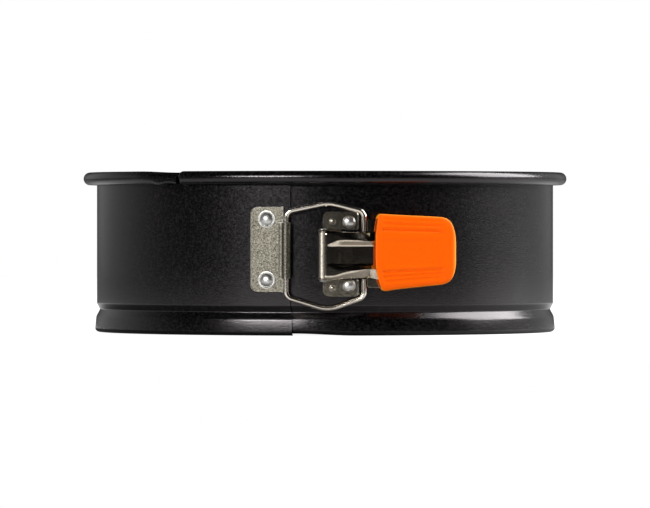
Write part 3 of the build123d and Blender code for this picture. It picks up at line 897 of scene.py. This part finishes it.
# Painted highlight: faces seen edge-on are lightened towards a pale orange, standing in for the light rim along
# the grip's edges.
grazing_weight = put(tree, "ShaderNodeLayerWeight", Blend=0.3)
rim_highlight_mask = ramp(tree, grazing_weight.outputs["Facing"], 0.12, 0.75, (0, 0, 0, 1), (1, 1, 1, 1))
painted_rim_highlight = put(tree, "ShaderNodeMix", data_type="RGBA")
painted_rim_highlight.inputs["B"].default_value = (1.0, 0.36, 0.03, 1)
tree.links.new(rim_highlight_mask.outputs["Color"], painted_rim_highlight.inputs["Factor"])
tree.links.new(tone, painted_rim_highlight.inputs["A"])
tree.links.new(painted_rim_highlight.outputs["Result"], shader.inputs["Base Color"])
shader.inputs["Subsurface Weight"].default_value = 0.06
shader.inputs["Subsurface Radius"].default_value = (0.0016, 0.0006, 0.0002)
shader.inputs["Subsurface Scale"].default_value = 1.0
shader.inputs["Specular IOR Level"].default_value = 0.07

GRIP_Z = 35.2
GRIP_START, GRIP_END = 1.0, 36.1
TOP_MOUTH, TOP_END, LOW_MOUTH, LOW_END = 16.6, 15.1, 16.4, 13.4
CORNER = 8.2
GROOVES = ((14.2, 0.3), (12.3, 0.6), (9.7, 1.25), (-8.5, 1.25), (-10.5, 0.8), (-12.5, 0.6))
GROOVE_WIDTH = 0.6


def grip_place(u, w, n):
    """From along, up and out of the sloping tab to the pan's frame; the mouth is cut on a bow."""
    bow = 1.4 * (max(0.0, w) / 16.2) ** 3 + 3.4 * (max(0.0, -w) / 16.3) ** 3
    u += bow * ease(1 - (u - GRIP_START) / 12.0)
    x = BEND_X + u * math.cos(SLOPE) + n * math.sin(SLOPE)
    y = TAB_Y + u * math.sin(SLOPE) - n * math.cos(SLOPE)
    return (x, y, GRIP_Z + w)


def grip_half(u, mouth, end):
    """Height of one edge above the middle: straight taper, then a round corner into a bowed end."""
    t = (u - GRIP_START) / (GRIP_END - GRIP_START)
    edge = mouth + (end - mouth) * min(1.0, t / 0.86)
    into = (u - (GRIP_END - CORNER)) / CORNER
    if into > 0:
        edge -= edge * (1 - (1 - into**3.2) ** (1 / 2.6)) if into < 1 else edge
    mouth_round = (GRIP_START + 1.6 - u) / 1.6
    if mouth_round > 0:
        edge -= 1.1 * (1 - math.sqrt(max(0.0, 1 - mouth_round**2)))
    return edge


def grip_thick(u):
    """Half thickness, with the mouth's bead and the rounded end."""
    half = 3.85 - 0.25 * ease((u - 20) / 14) + 0.12 * bump(u, 2.0, 1.0) - 0.12 * bump(u, 3.2, 0.6)
    into = (u - (GRIP_END - 3.0)) / 3.0
    if into > 0:
        half *= math.sqrt(max(0.0, 1 - into**2.2)) if into < 1 else 0
    mouth_round = (GRIP_START + 0.9 - u) / 0.9
    if mouth_round > 0:
        half -= 0.8 * (1 - math.sqrt(max(0.0, 1 - mouth_round**2)))
    return half


around = 200
SQUARE = 2 / 5.5  # power that squares the round of the section
HALF_WIDE, HALF_THICK = 16, 4
whole_turn = []
for k in range(721):
    a = 2 * math.pi * (k % 720) / 720
    c, s = math.cos(a), math.sin(a)
    up, forward = math.copysign(abs(s) ** SQUARE, s), math.copysign(abs(c) ** SQUARE, c)
    whole_turn.append(Vector((HALF_WIDE * up, HALF_THICK * forward, 0)))
round_section = [(p.x / HALF_WIDE, p.y / HALF_THICK) for p in resample(whole_turn, around + 1)[:-1]]
us = [GRIP_START + 0.9 * (1 - math.cos(math.pi / 2 * k / 6)) for k in range(7)]
us += [GRIP_START + 0.9 + (GRIP_END - 4.2 - GRIP_START) * k / 60 for k in range(1, 61)]
last = us[-1]
us += [last + (GRIP_END - last) * math.sin(math.pi / 2 * k / 14) for k in range(1, 15)]
us[-1] = GRIP_END - 0.004
verts = []
for u in us:
    thick = max(0.05, grip_thick(u))
    for side, face in round_section:
        half = grip_half(u, TOP_MOUTH, TOP_END) if side > 0 else grip_half(u, LOW_MOUTH, LOW_END)
        w = side * max(0.3, half)
        n = face * thick
        if n > 0.6 * thick:
            reach = ease((u - 3.0) / 1.5) * ease((31.0 - u) / 3.0)
            for at, deep in GROOVES:
                n -= deep * reach * bump(w, at * half / 16.4, GROOVE_WIDTH)
            n -= 0.25 * ease((6.5 - abs(w)) / 2.0) * ease((u - 4.0) / 2.0) * ease((30.0 - u) / 3.0)
        verts.append(grip_place(u, w, n))
faces = tube_faces(len(us), around)
end = around * (len(us) - 1)
verts.append(grip_place(GRIP_END, 0.4, 0))
faces += [(end + i, end + (i + 1) % around, len(verts) - 1) for i in range(around)]
# The mouth turns in to the slot that the tab fills
for depth in (0.0, 0.25, 3.0):
    base = len(verts)
    for side, face in round_section:
        inner_w = 15.2 if depth == 0 else 14.85
        n = face * (3.0 if depth == 0 else 2.6)
        if n < 0:
            n *= 0.35
        verts.append(grip_place(GRIP_START + depth, side * inner_w, n))
    ring_before = 0 if depth == 0.0 else base - around
    for i in range(around):
        j = (i + 1) % around
        faces.append((ring_before + j, ring_before + i, base + i, base + j))
cap = len(verts) - around
faces.append(tuple(cap + i for i in range(around)))
lever_grip = solid("lever_grip_sleeve", verts, faces, silicone, sharp=60)
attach(lever_grip, "lever")
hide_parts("lever_grip")

# ------------------------------------------------------------------ bail
# One length of 2.2 mm plated spring wire, bent to a six-sided loop. Its long leg turns in the
# knuckle and its two tips sit at the lever's hook holes.
wire_bright, tree, shader = finish("plated spring wire")
skin = use(tree, pebble, Size_mm=0.45, Swell_mm=3.0, Swell_share=0.9)
dark, light = (0.66, 0.58, 0.49), (0.92, 0.86, 0.77)
tone = dress(tree, shader, skin, 0.18, 0.00004, (0.14, 0.26), (0.3, 0.7), dark, light)
tree.links.new(tone, shader.inputs["Base Color"])
shader.inputs["Metallic"].default_value = 1.0

WIRE_R = 1.1
APEX_X, APEX_LOW, APEX_HIGH = 1.6, 10.8, 56.5
BEND_LOW, BEND_HIGH = 16.3, 52.7
TIP = 10.15  # the tips' distance from the lever's middle
APEX_Y = KNUCKLE[1] + (HOOK[1] - KNUCKLE[1]) * (APEX_X - KNUCKLE[0]) / (HOOK[0] - KNUCKLE[0])
bail_line = rounded(
    [
        (*HOOK, LEVER_Z + TIP),
        (*HOOK, BEND_HIGH),
        (APEX_X, APEX_Y, APEX_HIGH),
        (*KNUCKLE, BEND_HIGH),
        (*KNUCKLE, BEND_LOW),
        (APEX_X, APEX_Y, APEX_LOW),
        (*HOOK, BEND_LOW),
        (*HOOK, LEVER_Z - TIP),
    ],
    [3.2, 14.0, 3.2, 3.2, 14.0, 3.2],
    step=7,
)
verts = []
ring = 28
out = Vector((0, -1, 0))
for k, p in enumerate(bail_line):
    along = (bail_line[min(k + 1, len(bail_line) - 1)] - bail_line[max(k - 1, 0)]).normalized()
    across_dir = along.cross(out).normalized()
    up = across_dir.cross(along).normalized()
    for i in range(ring):
        a = 2 * math.pi * i / ring
        verts.append(p + (across_dir * math.cos(a) + up * math.sin(a)) * WIRE_R)
faces = tube_faces(len(bail_line), ring)
last = ring * (len(bail_line) - 1)
faces.append(tuple(reversed(range(ring))))
faces.append(tuple(last + i for i in range(ring)))
bail = solid("bail_wire", verts, faces, wire_bright, sharp=45)
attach(bail, "bail")
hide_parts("bail")

# ------------------------------------------------------------------ table, light and camera
# A white table that the pan stands on, a long low soft box at the front left and a large one at
# the right. Pale cards stand at both sides; the room in front is dark.
table_white, tree, shader = finish("white table")
shader.inputs["Base Color"].default_value = (0.22, 0.22, 0.22, 1)
shader.inputs["Roughness"].default_value = 0.6
shader.inputs["Emission Color"].default_value = (1, 1, 1, 1)
place = put(tree, "ShaderNodeTexCoord")
far = put(tree, "ShaderNodeVectorMath", operation="LENGTH")
tree.links.new(place.outputs["Object"], far.inputs[0])
away = far.outputs["Value"]
ground = span(tree, away, 0.12, 0.9, 0.94, 1.0, smooth=True)
# Painted light: for reflected rays the table glows around the pan, a pool of light that fades out by 0.36 m
# from the middle; right at the pan the glow is cut to nothing over 0.11 to 0.145 m, a painted shadow.
painted_light_pool = span(tree, away, 0.18, 0.36, 0.60, 0.0, smooth=True)
shade = span(tree, away, 0.110, 0.145, 0.0, 1.0, smooth=True)
seen = put(tree, "ShaderNodeLightPath")
glow = put(tree, "ShaderNodeMix")
tree.links.new(seen.outputs["Is Camera Ray"], glow.inputs["Factor"])
tree.links.new(reckon(tree, "MULTIPLY", painted_light_pool, shade), glow.inputs["A"])
tree.links.new(ground, glow.inputs["B"])
tree.links.new(glow.outputs["Result"], shader.inputs["Emission Strength"])
TABLE_Z = -0.02
table_edge = [(-1500, -560, TABLE_Z), (1500, -560, TABLE_Z), (1500, 2400, TABLE_Z), (-1500, 2400, TABLE_Z)]
table = solid("table", table_edge, [(0, 1, 2, 3)], table_white)


def aim(azimuth, elevation, distance=1.6):
    """Place at a distance from the pan; azimuth runs from the front towards the right."""
    a, e = math.radians(azimuth), math.radians(elevation)
    return (distance * math.sin(a) * math.cos(e), -distance * math.cos(a) * math.cos(e), distance * math.sin(e))


def softbox(name, at, target, width, height, power):
    """A soft box at a place, turned to face the pan."""
    lamp = bpy.data.lights.new(name, "AREA")
    lamp.shape = "RECTANGLE"
    lamp.size, lamp.size_y = width, height
    lamp.energy = power
    made = bpy.data.objects.new(name, lamp)
    made.location = at
    made.rotation_euler = (Vector(target) - Vector(at)).to_track_quat("-Z", "Y").to_euler()
    bpy.context.scene.collection.objects.link(made)


MIDDLE = (0, 0, 0.04)
softbox("left soft box", aim(-29, 18.5), MIDDLE, 0.80, 0.25, 19)
softbox("right soft box", aim(98, 36), MIDDLE, 1.20, 1.40, 56)

world = bpy.data.worlds.new("studio")
bpy.context.scene.world = world
world.use_nodes = True
tree = world.node_tree
back = tree.nodes["Background"]
place = put(tree, "ShaderNodeTexCoord")
split = put(tree, "ShaderNodeSeparateXYZ")
tree.links.new(place.outputs["Generated"], split.inputs[0])
sideways = reckon(tree, "ABSOLUTE", split.outputs["X"])
behind = span(tree, split.outputs["Y"], -0.4, 0.6, 0.0, 1.0, smooth=True)
beside = span(tree, sideways, 0.15, 0.5, 0.12, 1.0, smooth=True)
low_down = span(tree, split.outputs["Z"], 0.25, 0.7, 1.0, 0.1, smooth=True)
cards = reckon(tree, "MULTIPLY", reckon(tree, "MULTIPLY", behind, beside), low_down)
seen = put(tree, "ShaderNodeLightPath")
pick = put(tree, "ShaderNodeMix")
pick.inputs["B"].default_value = 1.0
tree.links.new(seen.outputs["Is Camera Ray"], pick.inputs["Factor"])
tree.links.new(reckon(tree, "MULTIPLY", cards, 0.42), pick.inputs["A"])
tree.links.new(pick.outputs["Result"], back.inputs["Strength"])
back.inputs["Color"].default_value = (1, 1, 1, 1)

lens = bpy.data.cameras.new("camera")
lens.sensor_width = 36.0
lens.lens = 326.7
lens.clip_end = 50.0
camera = bpy.data.objects.new("camera", lens)
camera.location = (0.0, -2.602, 0.0495)
camera.rotation_euler = (math.radians(90 - 0.3390), 0, 0)
bpy.context.scene.collection.objects.link(camera)
bpy.context.scene.camera = camera
bpy.context.scene.view_settings.view_transform = "Standard"
